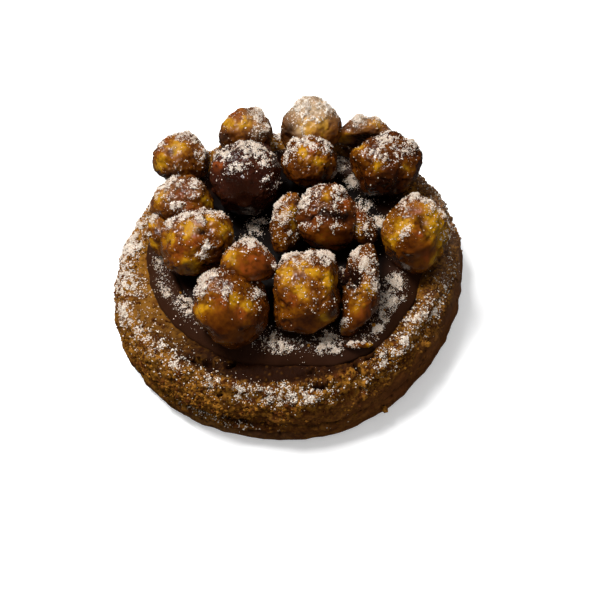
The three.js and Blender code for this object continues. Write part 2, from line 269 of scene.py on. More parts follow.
def well_outline(angle):
    """The well's outline: it bulges at the front right, falls short at the front left and wanders a
    little all the way round."""
    steady = sum(share * swelling(angle, middle, width) for middle, width, share in WELL_BULGES)
    circle = np.stack([np.cos(angle), np.sin(angle), 0 * angle], -1)
    return 1 + steady + 0.012 * noise(circle * 5, 6) + 0.006 * noise(circle * 14, 7)


def waver(angle, pace, seed):
    """A slow random sway from -1 to 1 round the cookie."""
    return noise(np.stack([angle * pace, 0 * angle, 0 * angle], -1), seed)


def crumble(p, angle):
    """Broad lumps plus crags, less rough layers that run round the side and one deep split there."""
    crag_stretch = np.array([1, 1, 1.35]) / CRAG_SIZE
    layer_stretch = 1 / np.array([LAYER_LENGTH, LAYER_LENGTH, LAYER_THICKNESS])
    layers = np.maximum(0, noise(p * layer_stretch, 3) - 0.25)
    from_split = p[..., 2] - SPLIT_HEIGHT - waver(angle, 5, 4)
    split = swelling(angle, *SPLIT_ARC) * bell(from_split / SPLIT_GAPE)
    relief = LUMP_RISE * noise(p / LUMP_SIZE, 1) + CRAG_RISE * noise(p * crag_stretch, 2)
    return relief - LAYER_DEPTH * layers - SPLIT_DEPTH * split


def crack_depth(p, sharpness=1, wander=0):
    """How deep the cracks are at a place: for each, a flat-topped bell along it times a bell across it."""
    depth = np.zeros(p.shape[:-1])
    for x, y, half_length, heading, half_width, deepest in CRACKS:
        c, s = np.cos(np.radians(heading)), np.sin(np.radians(heading))
        along = c * (p[..., 0] - x) + s * (p[..., 1] - y)
        across = c * (p[..., 1] - y) - s * (p[..., 0] - x) + wander
        power = -((along / half_length) ** 4) - (sharpness * across / half_width) ** 2
        depth += deepest * np.exp(power)
    return depth


def fissure_depth(p, angle):
    """How deep the fissures round the side are: a bell along each times a bell across its wavy line."""
    wander = 0.7 * waver(angle, 6, 8) + 0.25 * noise(p / 1.2, 9)
    depth = np.zeros(p.shape[:-1])
    for middle, half_length, height, gape, deepest in FISSURES:
        across = (p[..., 2] - height - wander) / gape
        depth = np.maximum(depth, deepest * swelling(angle, middle, half_length) * bell(across))
    return depth


def sugar_patches(p, patches, height):
    """How thickly sugar lies in named patches: for each, a bell of the distance from the line of sight
    that runs through its place at that height."""
    thick = np.zeros(p.shape[:-1])
    for x, y, half_size in patches:
        offset = p - np.array([x, y, height])
        offset -= (offset @ SIGHT)[..., None] * SIGHT
        thick = np.maximum(thick, bell(np.linalg.norm(offset, axis=-1) / half_size))
    return thick


def gathered(p, thickness, seed):
    """How thick sifted sugar of an average thickness really lies, from 0 to 1: it gathers into clumps, so
    two sizes of noise swing the thickness up and down wherever there is any."""
    swing = 0.5 * noise(p / 1.5, seed) + 0.8 * noise(p / 0.55, seed + 1)
    return np.clip(thickness + 1.1 * swing * smooth_step(thickness, 0, 0.35), 0, 1)


def biscuit_shape():
    """The biscuit's rings with their relief, and the marks that its material reads."""
    corners = [
        [BASE_RADIUS, 0], [BASE_RADIUS + 1.3, 1.6], [COOKIE_RADIUS - 0.2, 4.8],
        [COOKIE_RADIUS, WIDEST_HEIGHT], [COOKIE_RADIUS - 0.6, 11.6], [CROWN_RADIUS + 2, 14.9],
        [CROWN_RADIUS, CROWN_HEIGHT], [LIP_RADIUS + 1.5, LIP_HEIGHT + 0.6], [LIP_RADIUS, LIP_HEIGHT],
    ]
    underside = [[share * BASE_RADIUS, 0] for share in UNDERSIDE_SHARES]
    well = [[LIP_RADIUS - 0.4, WELL_FLOOR], [LIP_RADIUS * 0.5, WELL_FLOOR], [0, WELL_FLOOR]]
    profile = np.vstack([underside, smooth_profile(corners, BISCUIT_RINGS), well])
    rings = turned(profile, BISCUIT_AROUND)
    angle = np.arctan2(rings[..., 1], rings[..., 0])
    radius, height = profile[:, :1], profile[:, 1:]

    def past_lip(near, far):
        """A smooth rise from 0 to 1 between two distances outside the well."""
        return smooth_step(radius, LIP_RADIUS + near, LIP_RADIUS + far)

    out = past_lip(0, 3)
    bump = crumble(rings, angle) * out * smooth_step(height, 0, 2.5)
    wide = well_outline(angle) * (1 - out) + biscuit_outline(angle) * out + bump / COOKIE_RADIUS
    rings[..., :2] *= wide[..., None]
    bump = bump - CRACK_SINK * crack_depth(rings)
    rings[..., 2] += smooth_step(height, WELL_FLOOR, CROWN_HEIGHT) * bump

    crown = smooth_step(height, 9, 14)
    front = swelling(angle, *FRONT_ARC)
    craggy_side = swelling(angle, *CRAGGY_ARC) * smooth_step(height, 1, 3)
    foot = swelling(angle, *SHELF_ARC) * (1 - smooth_step(height, SHELF_HEIGHT - 2, SHELF_HEIGHT))
    rough = np.clip(np.maximum(crown, 0.8 * craggy_side) + 0.16, 0, 1)
    rough = rough * np.maximum(0.5 + 0.5 * past_lip(0.4, 2.8), front) * (1 - 0.7 * foot)
    rough = rough * smooth_step(height, 0, 1.2) * past_lip(-0.5, 0.6)

    away, own = nearest_crumb(rings / CRUMB_SIZE, 21)
    raised = np.sqrt(np.maximum(0, 1 - (away / DOME_REACH) ** 2)) * (0.35 + 0.65 * own)
    fine = domes(rings / FINE_CRUMB_SIZE, 25)
    pit_away, pit_own = nearest_crumb(rings / PIT_SPACING, 31)
    pits = np.maximum(0, 1 - pit_away / (0.16 + 0.2 * pit_own)) * (pit_own > 0.35)
    cracks = crack_depth(rings, 2.2, 0.5 * noise(rings / 1.1, 35))
    relief = CRUMB_RISE * (raised - 0.5) + FINE_CRUMB_RISE * (fine - 0.5) - PIT_DEPTH * pits
    fissures = fissure_depth(rings, angle)
    bumps = np.zeros(angle.shape)
    for *place, half_size, bump_rise in SIDE_BUMPS:
        bumps += bump_rise * bell(np.linalg.norm(rings - place, axis=-1) / half_size)
    rings = rings + facing(rings) * (rough * relief - fissures + bumps)[..., None]
    rings[..., 2] -= 1.2 * cracks * crown

    degrees, distance, half_size = np.array(CROWN_SUGAR).T
    x, y = distance * np.cos(np.radians(degrees)), distance * np.sin(np.radians(degrees))
    patches = np.column_stack([x, y, PATCH_SPREAD * half_size])
    out_way = facing(rings)
    shelf = swelling(angle, *SHELF_ARC) * bell((rings[..., 2] - SHELF_HEIGHT) / SHELF_GAPE)
    thick = PATCH_COAT + SUGARY_COAT * swelling(angle, *SUGARY_ARC)
    thick *= sugar_patches(rings, patches, CROWN_HEIGHT - 0.2)
    thick += LOOSE_COAT + 0.1 * noise(rings / 4, 38) + SHELF_COAT * shelf
    upward = smooth_step(out_way[..., 2], 0.1, 0.7) * np.maximum(smooth_step(height, 11, 14.5), shelf)
    front_lip = front * (1 - past_lip(2.6, 5))
    fall = upward * thick * (1 - 0.7 * (1 - past_lip(0.6, 3))) * (1 - front_lip)
    dust = gathered(rings, fall, 81)
    rings = rings + out_way * (SUGAR_RISE * dust)[..., None]
    rings[..., 2] = np.maximum(rings[..., 2], 0)

    # golden: each crumb's own tone and a slow wander, plus painted light on the raised crumbs and a more
    # golden lip away from the front.
    golden = (0.45 * (own - 0.5) + 0.4 * (raised - 0.4) + 0.6 * (fine - 0.45)) * rough
    golden += 0.25 * noise(rings / 5, 37) + 0.2 * swelling(angle, *GOLDEN_ARC) - 0.2 * front_lip
    golden += 0.6 * (1 - front) * (1 - past_lip(1, 4))
    # Painted shade: the hollows between crumbs, the pits, cracks and fissures, and the front lip under the
    # cream's overhang are darkened towards near black.
    hollows = 1.2 * (0.34 - raised) + 1.5 * np.maximum(0, 0.36 - fine)
    cavity_shade = np.clip(1.1 * pits + 1.3 * cracks * crown + 0.9 * fissures + hollows * rough, 0, 1)
    shaded_lip = np.clip(front_lip * (1.3 - 0.75 * fine * raised), 0, 1)
    haze = 0.35 * swelling(angle, *HAZY_ARC) * smooth_step(height, 5, 10) + 0.15 * foot
    return rings, {
        "golden": golden,
        "cavity_shade": np.maximum(cavity_shade, shaded_lip),
        "dust": dust,
        "side": (1 - crown) * (1 - craggy_side),
        "rough": rough,
        "haze": haze * (1 + 0.6 * noise(rings / 1.6, 39)) * past_lip(2, 5),
        "fall": np.maximum(0, fall),
    }


def node(tree, kind, inputs=(), **settings):
    """A new shader node. Each input is a plain value or another node's socket."""
    made = tree.nodes.new("ShaderNode" + kind)
    for name, value in settings.items():
        setattr(made, name, value)
    for name, value in dict(inputs).items():
        if isinstance(value, bpy.types.NodeSocket):
            tree.links.new(value, made.inputs[name])
        else:
            made.inputs[name].default_value = value
    return made


def sums(tree, operation, *values):
    """The result of one arithmetic step on numbers or sockets."""
    return node(tree, "Math", dict(enumerate(values)), operation=operation).outputs[0]


def colour_mix(tree, share, first, second):
    """The first colour where the share is 0 and the second where it is 1."""
    return node(tree, "Mix", {0: share, 6: first, 7: second}, data_type="RGBA").outputs[2]


def rise(tree, value, low, high):
    """A smooth rise from 0 at low to 1 at high."""
    steps = {"Value": value, "From Min": low, "From Max": high}
    return node(tree, "MapRange", steps, interpolation_type="SMOOTHSTEP").outputs[0]


def mottle(tree, size, detail):
    """Solid random mottling from 0 to 1 with patches of that size in millimetres."""
    place = node(tree, "TexCoord").outputs["Object"]
    made = node(tree, "TexNoise", {"Vector": place, "Scale": 1000 / size, "Detail": detail})
    return made.outputs[0]


def mark(tree, name):
    """A value that the mesh carries at every point."""
    return node(tree, "Attribute", attribute_name=name).outputs["Fac"]


def rgba(red, green, blue):
    """A solid colour."""
    return (red, green, blue, 1)


SUGAR_THIN, SUGAR_THICK = rgba(0.62, 0.53, 0.44), rgba(0.88, 0.81, 0.72)


def sugar_dust_group():
    """Fine powdered sugar as a node group: where the dust is thicker than a fine mottling, the surface
    turns white. It puts out the colour with sugar on it and the sugar's mask."""
    group = bpy.data.node_groups.new("Sugar dust", "ShaderNodeTree")
    for name, way, kind in [
        ("Color", "INPUT", "Color"), ("Dust", "INPUT", "Float"),
        ("Color", "OUTPUT", "Color"), ("Mask", "OUTPUT", "Float"),
    ]:
        group.interface.new_socket(name, in_out=way, socket_type="NodeSocket" + kind)
    given = group.nodes.new("NodeGroupInput")
    grains = sums(group, "MULTIPLY_ADD", mottle(group, 0.3, 2.0), 2.6, -1.3)
    over = sums(group, "ADD", given.outputs["Dust"], grains)
    some = rise(group, given.outputs["Dust"], 0.02, 0.15)
    mask = sums(group, "MULTIPLY", rise(group, over, 0.55, 0.7), some)
    white = colour_mix(group, mottle(group, 0.3, 1.0), SUGAR_THIN, SUGAR_THICK)
    result = group.nodes.new("NodeGroupOutput")
    group.links.new(colour_mix(group, mask, given.outputs["Color"], white), result.inputs["Color"])
    group.links.new(mask, result.inputs["Mask"])
    return group


SUGAR_DUST = sugar_dust_group()


def dusted(tree, colour):
    """The sugar dust group placed in a material: (colour with sugar on it, sugar mask)."""
    made = tree.nodes.new("ShaderNodeGroup")
    made.node_tree = SUGAR_DUST
    tree.links.new(colour, made.inputs["Color"])
    tree.links.new(mark(tree, "dust"), made.inputs["Dust"])
    return made.outputs["Color"], made.outputs["Mask"]


def new_material(name):
    """An empty material: (material, its node tree)."""
    material = bpy.data.materials.new(name)
    material.use_nodes = True
    material.node_tree.nodes.clear()
    return material, material.node_tree


def uneven(tree, height, strength, depth):
    """The surface's direction over a fine relief of that depth in metres."""
    return node(tree, "Bump", {"Height": height, "Strength": strength, "Distance": depth}).outputs[0]


def finished(material, tree, inputs):
    """The material, with the inputs given to its surface shader."""
    shader = node(tree, "BsdfPrincipled", inputs)
    output = tree.nodes.new("ShaderNodeOutputMaterial")
    tree.links.new(shader.outputs["BSDF"], output.inputs["Surface"])
    return material


DOUGH_SHADE = rgba(0.014, 0.004, 0.0012)
DOUGH_BROWN = rgba(0.072, 0.021, 0.0036)
DOUGH_GOLD = rgba(0.285, 0.119, 0.014)
DOUGH_RED = rgba(0.085, 0.019, 0.004)
DOUGH_HAZE = rgba(0.32, 0.2, 0.13)
DOUGH_SIDE = rgba(0.21, 0.074, 0.023)
SIDE_STREAK = rgba(0.085, 0.027, 0.0085)


def baked_dough():
    """Brown dough, varied in tone, golden on raised crumbs as painted light, near black as painted
    shade in pits, cracks, hollows and the front lip, evener on the side.
    """
    material, tree = new_material("baked dough")
    # The golden mark, part tone and part painted light on raised crumbs, lifts the brown towards gold.
    crumbs = sums(tree, "MULTIPLY_ADD", mottle(tree, 0.5, 3), 1.3, mark(tree, "golden"))
    colour = colour_mix(tree, rise(tree, crumbs, 0.4, 1.15), DOUGH_BROWN, DOUGH_GOLD)
    colour = colour_mix(tree, rise(tree, mottle(tree, 2, 4), 0.45, 0.8), colour, DOUGH_RED)
    streaks = colour_mix(tree, mottle(tree, 1.1, 4), SIDE_STREAK, DOUGH_SIDE)
    colour = colour_mix(tree, sums(tree, "MULTIPLY", mark(tree, "side"), 0.8), colour, streaks)
    colour = colour_mix(tree, mark(tree, "haze"), colour, DOUGH_HAZE)
    # Painted shade: pits, cracks, hollows and the front lip are darkened towards near black.
    colour = colour_mix(tree, mark(tree, "cavity_shade"), colour, DOUGH_SHADE)
    colour, sugar = dusted(tree, colour)
    grain = sums(tree, "MULTIPLY", mottle(tree, 0.4, 3), mark(tree, "rough"))
    height = sums(tree, "MULTIPLY_ADD", sugar, 0.4, grain)
    inputs = {"Base Color": colour, "Roughness": 0.7, "Specular IOR Level": 0.04}
    return finished(material, tree, {**inputs, "Normal": uneven(tree, height, 0.7, 0.0003)})


def placed(piece, slot, *replaced):
    """The piece rides with the cookie and stands for the CAD nodes named, which it hides. The slot is not
    used.
    """
    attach(piece, "root")
    if replaced:
        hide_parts(*replaced)


biscuit_rings, biscuit_marks = biscuit_shape()
DOUGH = baked_dough()
placed(skin("biscuit", biscuit_rings, biscuit_marks, DOUGH), "biscuit", "cookie")

# ======== the chocolate cream
# Dark chocolate cream spooned into the well while soft. It stands a little over the lip as a thick rolled
# edge, smooth and faintly shiny on its flank, with fold lines where the spoon dragged it.

CREAM_RADIUS = LIP_RADIUS - 0.6
CREAM_TOP = 19.2
CREAM_MIDDLE = 19
CREAM_WAVE_LENGTH, CREAM_WAVE_RISE = 8, 0.35
FOLD_ARC = -165, 32  # middle and width in degrees
FOLD_RADIUS, FOLD_HALF_WIDTH, FOLD_DEPTH = 24.2, 0.45, 0.5
CREAM_AROUND, CREAM_RINGS = 600, 120
# Patches of sugar on the cream: x, y, half size.
CREAM_SUGAR = [
    [-26.9, 1.3, 1.5], [-27.5, -4.8, 1.3], [-25.7, -7.1, 1.1], [-22.2, -11.3, 1.7], [-20.5, -13.5, 1.3],
    [-19.4, -16.2, 0.9], [-5, -24.6, 1.9], [-2.7, -26.8, 1.5], [0.4, -26.2, 1.1], [5.7, -26.1, 1.9],
    [7.2, -28.4, 1.3], [3.7, -28.6, 1.3], [19.9, -19.1, 2.1], [22, -15.7, 1.9], [23.1, -19.8, 1.3],
    [18.4, -22.6, 1.5], [16.3, -25.9, 1.3], [14.4, -27.9, 1.1], [-5.1, 6, 1.7], [-6.8, 3, 1.3],
    [-3.2, 7.3, 1.1], [17.9, 14.2, 1.5], [19.6, 7, 1.7], [21.5, 1.6, 1.3], [16.2, 19.9, 1.7],
    [-8.2, 27.3, 1.1],
]


def cream_shape():
    """The cream's rings, and the marks that its material reads."""
    corners = [
        [CREAM_RADIUS + 0.6, LIP_HEIGHT - 0.6], [CREAM_RADIUS + 0.8, LIP_HEIGHT + 0.3],
        [CREAM_RADIUS - 0.1, LIP_HEIGHT + 1.4], [CREAM_RADIUS - 1.1, CREAM_TOP - 0.7],
        [CREAM_RADIUS - 2.6, CREAM_TOP],
        [CREAM_RADIUS - 5.4, CREAM_TOP - 0.5], [CREAM_RADIUS - 9, CREAM_MIDDLE],
        [CREAM_RADIUS * 0.42, CREAM_MIDDLE], [1.5, CREAM_MIDDLE],
    ]
    bottom = [[0, WELL_FLOOR + 0.3], [CREAM_RADIUS - 0.6, WELL_FLOOR + 0.3]]
    profile = np.vstack([bottom, smooth_profile(corners, CREAM_RINGS), [[0, CREAM_MIDDLE]]])
    rings = turned(profile, CREAM_AROUND)
    angle = np.arctan2(rings[..., 1], rings[..., 0])
    radius, height = profile[:, :1], profile[:, 1:]
    top = smooth_step(height, LIP_HEIGHT, CREAM_TOP - 0.6)
    flat = rings * [1, 1, 0] / CREAM_WAVE_LENGTH
    wave, swell = noise(flat, 4), noise(flat + [0, 0, 1], 5)
    rings[..., :2] *= (well_outline(angle) + top * (0.3 * swell - 0.2) / CREAM_RADIUS)[..., None]
    rings[..., 2] += top * CREAM_WAVE_RISE * wave

    lift = 0.10 * noise(rings / 2.6, 41) + 0.03 * noise(rings / 0.9, 42)
    from_fold = radius - FOLD_RADIUS - 0.6 * noise(rings / 6, 43)
    fold = swelling(angle, *FOLD_ARC) * bell(from_fold / FOLD_HALF_WIDTH)
    out_way = facing(rings)
    rings = rings + out_way * (top * (lift - FOLD_DEPTH * fold))[..., None]

    level = smooth_step(out_way[..., 2], 0.7, 0.95) * smooth_step(height, LIP_HEIGHT + 1, CREAM_TOP - 0.8)
    edge_band = smooth_step(radius, CREAM_RADIUS - 5, CREAM_RADIUS - 3)
    thick = 0.55 * sugar_patches(rings, CREAM_SUGAR, CREAM_TOP) + 0.07 * edge_band
    dust = gathered(rings, level * thick, 83)
    rings = rings + out_way * (SUGAR_RISE * dust)[..., None]
    # deep: painted shade on the fold line and on the middle of the cream, where the nuts shade it.
    deep = np.maximum(fold, 1 - smooth_step(radius, CREAM_RADIUS - 8, CREAM_RADIUS - 3.5))
    return rings, {"dust": dust, "deep": deep, "fall": level * thick}


CREAM_BROWNS = rgba(0.017, 0.0058, 0.0025), rgba(0.034, 0.0122, 0.0055)
CREAM_SHADE = rgba(0.002, 0.0008, 0.0005)


def dark_cream():
    """Very dark brown, with painted shade near black on the fold line and between the nuts, and a soft
    sheen where no sugar lies.
    """
    material, tree = new_material("dark chocolate cream")
    colour = colour_mix(tree, mottle(tree, 3, 3), *CREAM_BROWNS)
    # Painted shade: the fold and the middle between the nuts go near black.
    colour = colour_mix(tree, mark(tree, "deep"), colour, CREAM_SHADE)
    colour, sugar = dusted(tree, colour)
    rough = sums(tree, "MULTIPLY_ADD", sugar, 0.4, 0.45)
    height = sums(tree, "MULTIPLY_ADD", sugar, 0.8, mottle(tree, 0.5, 3))
    inputs = {"Base Color": colour, "Roughness": rough, "Specular IOR Level": 0.06}
    return finished(material, tree, {**inputs, "Normal": uneven(tree, height, 0.45, 0.0001)})


cream_rings, cream_marks = cream_shape()
cream_disc = skin("chocolate_cream_disc", cream_rings, cream_marks, dark_cream())
placed(cream_disc, "chocolate_cream", "chocolate_cream")

# ======== the hazelnuts
# Roasted hazelnuts, whole, halved and broken, each coated in clear amber caramel that set glossy. Skin
# left on shows red-brown through it and bare kernel shows golden; they were pressed into the soft cream.

# Every nut is one rounded lump. `at` is its middle; `half` is its half width, height and depth as seen
# from the front, turned by `turn` degrees. Each flat is a facet: degrees anticlockwise from the right,
# degrees towards the viewer, distance from the middle. The colour places and the sugar patches are
# offsets in the picture from the nut's middle: right, up, half size.
# The dark places are painted shade, on the shaded lower sides of the nuts and in their creases.
NUTS = {
    "nut_upper_half": dict(
        at=[-6.7, -11.8, 30.2], half=[6.1, 4.3, 4.9], turn=-8, tone=0.5, flats=[[-92, 5, 3.9],
        [140, 15, 4.4], [38, 10, 4]], gold=[[-3.3, 1.1, 1.8]], russet=[[1.9, 0.5, 2.6], [0, -2, 3]],
        dark=[[3.7, -1.1, 1.4]], sugar=[[-3.5, 3.5, 1.4], [0.1, 4.1, 1.8], [3.4, 3.4, 1.4],
        [5.5, -0.9, 0.9]], smooth=[[0.5, -0.8, 3.4]],
    ),
    "nut_front_left": dict(
        at=[-11.9, -18.1, 24.8], half=[7.8, 8.7, 7.3], tone=0.35, flats=[[-48, 5, 7.9], [-135, 5, 7.1],
        [135, 10, 7.8], [35, 30, 7]], gold=[[1.4, 1.3, 1.3], [4, 0.5, 1.3], [-5.6, -0.5, 1.6]],
        russet=[[-1.8, 1.5, 1.5], [3, -1.5, 1.4]], dark=[[2, -4.6, 0.5]], sugar=[[-4, 5.1, 1.7],
        [-0.4, 2.5, 1.4], [-5.6, 3.1, 1.2], [5.2, 2.7, 1.2]], smooth=[[-0.6, -4.2, 4.6]],
    ),
    "nut_front": dict(
        at=[3.7, -17.2, 24.8], half=[8.6, 10, 7.6], tone=0.38, flats=[[180, 0, 6.4], [0, 10, 6],
        [92, 12, 7.3], [-92, 0, 8.8], [137, 5, 7.2], [-48, 5, 8]], gold=[[-1.6, 4.9, 1.8], [-4, 2.7, 2],
        [3.8, 1.8, 2], [-1.4, -0.4, 2.2], [1, 3.4, 1.4], [3.2, -5, 1.6]], russet=[[-3, -2, 1.2]],
        dark=[[5.1, -3.6, 1.8]], sugar=[[-3.4, 6.9, 1.8], [-0.4, 7.3, 1.9], [3.8, 6.5, 1.9], [1.4, -3, 1],
        [1.5, 1.2, 0.8]], smooth=[[-0.6, -6.8, 2.6]], bulges=[[4.6, -3.2, 5, -3.8, 2.2, 1.2]],
    ),
    "nut_left_front": dict(
        at=[-17, -0.3, 25], half=[8.6, 7.2, 7.2], turn=18, tone=0.5, flats=[[115, 15, 6.4], [190, 10, 7.8],
        [10, 0, 8], [-65, 20, 6.7]], gold=[[3.3, 5.1, 1.4], [-1.3, 2.1, 1.9], [6.3, 2.1, 1.6],
        [-5.7, 0.6, 1.6], [-0.7, -4.6, 2.1]], russet=[[0.2, 0, 1.6], [-3.4, -1.5, 1.8]],
        dark=[[2.1, 5.3, 0.6], [2.1, 4.4, 0.5], [1, 2.1, 1.2]], sugar=[[-5.7, 4.2, 1.5], [-2.1, 5.7, 1.5],
        [1, 5.7, 1.5], [4.8, 7, 1.7], [2.1, -2.1, 1.5]],
    ),
    "nut_right": dict(
        at=[27.7, -7.9, 24.9], half=[6.8, 8.2, 6.9], turn=-8, tone=0.6, flats=[[60, 15, 7.3],
        [130, 10, 6.9], [-140, 10, 6.6], [-10, 30, 6.2]], gold=[[-3.4, 1.2, 2.1], [-4.7, -1.3, 1.7],
        [2.9, 3.7, 2.6], [4.2, 0.8, 3], [4.2, -5.6, 1.4], [5, -2, 2]], russet=[[1.9, -5.4, 1.1],
        [-0.1, 4.4, 1.3], [0.6, -0.6, 1.5]], dark=[[-3, -7.2, 2]], sugar=[[-2.6, 5.9, 1.1],
        [-0.4, 7.2, 1.2], [2.6, 5.6, 1.2], [4.6, 3.6, 0.9], [-2.8, -0.6, 1], [5.4, -0.6, 1.2]],
        smooth=[[1.3, -5, 3.2]], grooves=[[0.6, 2.4, 2.4, -2, 0.7, 0.55],
        [5.6, -1.8, 4.6, -6.6, 0.35, 0.5]],
    ),
    "nut_centre": dict(
        at=[10.9, -0.4, 25.6], half=[7, 7.3, 6.6], tone=0.2, flats=[[40, 15, 6.4], [140, 10, 6.7],
        [-90, 20, 6.6], [0, 0, 6.1]], gold=[[-0.4, 3.9, 1.4], [-1, -5, 2]], russet=[[-0.6, -4.7, 2.8],
        [3.4, 2.8, 1.8], [-3, 0, 2]], dark=[[-1.6, 0.7, 1.3], [1.3, 0.3, 1.3], [4, -0.1, 1.2]],
        sugar=[[-3.5, 5.8, 2.1], [-5.4, 3.3, 1.6], [2.6, 5.1, 1.6], [-5.2, -1.6, 1], [-2.3, -1.6, 1.1],
        [0.9, -2.2, 1], [0.9, 1.6, 1]], smooth=[[-0.6, -4.9, 3]],
        grooves=[[-5.2, -0.6, -2.4, 0.6, 0.6, 0.6], [-1.6, 0.9, 3.4, -0.4, 0.8, 0.8],
        [0.2, 3, 3.6, 4.2, 0.5, 0.5]],
    ),
    "nut_dark": dict(
        at=[-4.9, 14.5, 26.2], half=[7.8, 8.2, 7.8], tone=0.1, flats=[[100, 30, 7.7]],
        russet=[[-5.5, 2.4, 1.2]], dark=[[0, -4.8, 4]], sugar=[[-0.5, 7.8, 2.4], [1.3, 5.6, 2.4],
        [-2.4, 1.5, 1.7], [3.4, 3.7, 2.1], [5.6, -1.3, 1.6], [-4.4, 4.4, 1.7], [0.8, 1.8, 1.5]],
        smooth=[[-1.3, -4.4, 3.4]],
    ),
    "nut_middle_back": dict(
        at=[9.5, 16.4, 25.4], half=[6.2, 5.9, 6.1], tone=0.35, flats=[[70, 10, 5.7], [180, 20, 5.8],
        [0, 10, 5.8]], gold=[[-1.6, 1.3, 1.8], [1.4, -1, 1.4]], russet=[[-0.1, 1.7, 1.1]],
        dark=[[3.2, -3.4, 1.8]], sugar=[[-3.6, 3.5, 2], [-0.5, 3.6, 1.6], [-5.5, 0.9, 1.5],
        [3.6, 3.6, 1.6]],
    ),
    "nut_right_back": dict(
        at=[25.7, 11.7, 25.7], half=[8.5, 7.3, 7], turn=5, tone=0.1, flats=[[45, 5, 6.9], [120, 10, 6.6],
        [-22, 10, 6.9], [200, 10, 7]], gold=[[-5.9, 3.1, 1.4], [-2.9, -1.2, 1.5], [3.8, -1.9, 1.1],
        [4.7, -4.9, 0.9]], dark=[[-0.3, -5.1, 2.8], [2.3, -1.2, 0.9]], sugar=[[-4.4, 1.4, 1.3],
        [-1.6, 1.4, 1.6], [2.5, 1.8, 1.7], [-0.3, 4.2, 1.8], [4.9, 3.3, 1.6]],
    ),
    "nut_back_middle": dict(
        at=[11.2, 26.4, 26], half=[7, 6.8, 6.6], tone=0.6, veil=0.5, flats=[[135, 0, 5.8], [48, 0, 6]],
        gold=[[-1.5, -0.8, 2.4], [2.9, -0.3, 2.2]], dark=[[-5.4, -1.2, 1.8]], sugar=[[-1.6, 3.9, 3.3],
        [1.9, 3.6, 2.9], [-2.5, -1.2, 1.2]],
    ),
    "nut_back": dict(
        at=[-3.4, 29.3, 25], half=[6.5, 5.8, 6.2], turn=15, tone=0.4, veil=0.2, flats=[[130, 0, 4.8],
        [20, 0, 5.7]], gold=[[-3.7, 1.7, 1.9], [0.2, 1.5, 2.1]], russet=[[-2.1, 3.3, 1.4]],
        dark=[[-5.3, -2.2, 1.8]], sugar=[[2.4, 3.7, 1.8], [3.8, 0.1, 1.6]],
    ),
    "nut_back_left": dict(
        at=[-18.6, 25.5, 23.9], half=[6.6, 5.9, 6.2], turn=10, tone=0.5, veil=0.05, flats=[[40, 0, 5.8]],
        gold=[[-0.5, 1.9, 2.3], [-4.1, -1.2, 1.9]], russet=[[-2.8, 3.7, 1.1], [-5, 0.8, 1.1]],
        dark=[[-3, -4.6, 1.6]], sugar=[[0.6, 5.5, 1.6], [-4.1, 2.4, 0.9], [3.6, 4, 1.4], [4.6, 0.4, 1.4],
        [-1, -3, 0.9]],
    ),
    "nut_left_back": dict(
        at=[-19.5, 11.3, 25], half=[6.9, 5.8, 6.2], turn=8, tone=0.4, veil=0.05, flats=[[140, 10, 5.9]],
        gold=[[-4.4, 0.7, 1.4], [5.1, 0.9, 1.6]], russet=[[0.8, 2.2, 1.7], [1.7, -1.5, 1.5]],
        sugar=[[-3.3, 2.4, 1.6], [3, 3.2, 1.6], [-0.5, -0.6, 1.7], [-2.2, 4.6, 1.8]],
    ),
    "nut_left_piece": dict(
        at=[-25, 5.6, 22.2], half=[3, 4.6, 3.8], turn=15, tone=0.35, flats=[[20, 10, 2.8]],
        gold=[[-1.8, 2.9, 1.3], [-1.2, -1.8, 1.3]], dark=[[0.4, -0.7, 1]], sugar=[[-2.1, -0.3, 0.9],
        [-1, 3.8, 1]],
    ),
    "nut_centre_half": dict(
        at=[2, 0.5, 24.6], half=[3.4, 7.1, 4.8], turn=-10, tone=0.5, flats=[[-5, 30, 2.8], [100, 20, 6.4]],
        gold=[[-1.5, 6.3, 1.3], [0.6, 2.7, 1.4], [1.5, -0.3, 1.2]], dark=[[1.1, -5, 1.6]],
        sugar=[[-1, 1.2, 1.8], [0.2, -2.2, 1.1], [-2.3, 4.4, 1.5], [-1, 7, 1.4]],
    ),
    "nut_centre_piece": dict(
        at=[16.9, -2.1, 23.9], half=[3.1, 5.2, 3.8], turn=38, tone=0.1, flats=[[40, 20, 2.8],
        [-80, 0, 4.6]], gold=[[-0.8, -0.9, 1.5]], russet=[[-0.2, 1.6, 1.2]], dark=[[2.1, -2.8, 1.4],
        [-2.5, 3, 1]], sugar=[[1.7, -0.9, 0.5]],
    ),
    "nut_back_half": dict(
        at=[23.1, 23.8, 23.4], half=[7.2, 4, 5], turn=-6, tone=0.35, veil=0.3, flats=[[-90, 20, 2.2],
        [130, 0, 4.4], [40, 0, 4.4]], gold=[[2, 2.3, 1.6], [-4.8, -1.3, 1.6]], dark=[[-0.5, -1.9, 2.2]],
        sugar=[[-1.6, 3, 1.6], [2.2, 3.9, 1.6]],
    ),
    "skin_fragment": dict(
        at=[11.3, -14, 22.7], half=[3.4, 2.6, 3.4], turn=-20, tone=0, flats=[[80, 20, 1.8]],
        dark=[[-0.3, -0.7, 1.2]], sugar=[[1.8, 2.1, 1]],
    ),
    "nut_front_half": dict(
        at=[14.4, -18.7, 23.7], half=[4.6, 9.8, 4.6], turn=-13, tone=0.25, flats=[[3, 10, 3.5], [-40, 5, 5],
        [178, 5, 3.6]], gold=[[0.8, 0.2, 1.5], [-0.8, -3.4, 1.6], [-3.4, -7.4, 1.3]],
        russet=[[0.4, -4, 1.2]], sugar=[[-1.5, 7.6, 1.6], [1.4, 5, 1.6], [2.8, 1.2, 1], [-3.2, -6, 0.9]],
        smooth=[[0.2, -5.2, 1.9]], grooves=[[-4.2, 2.8, -2.2, 2.4, 1.6, 3.2]],
        bulges=[[-3.9, -7.6, -3.4, -7, 1.4, 1.2]],
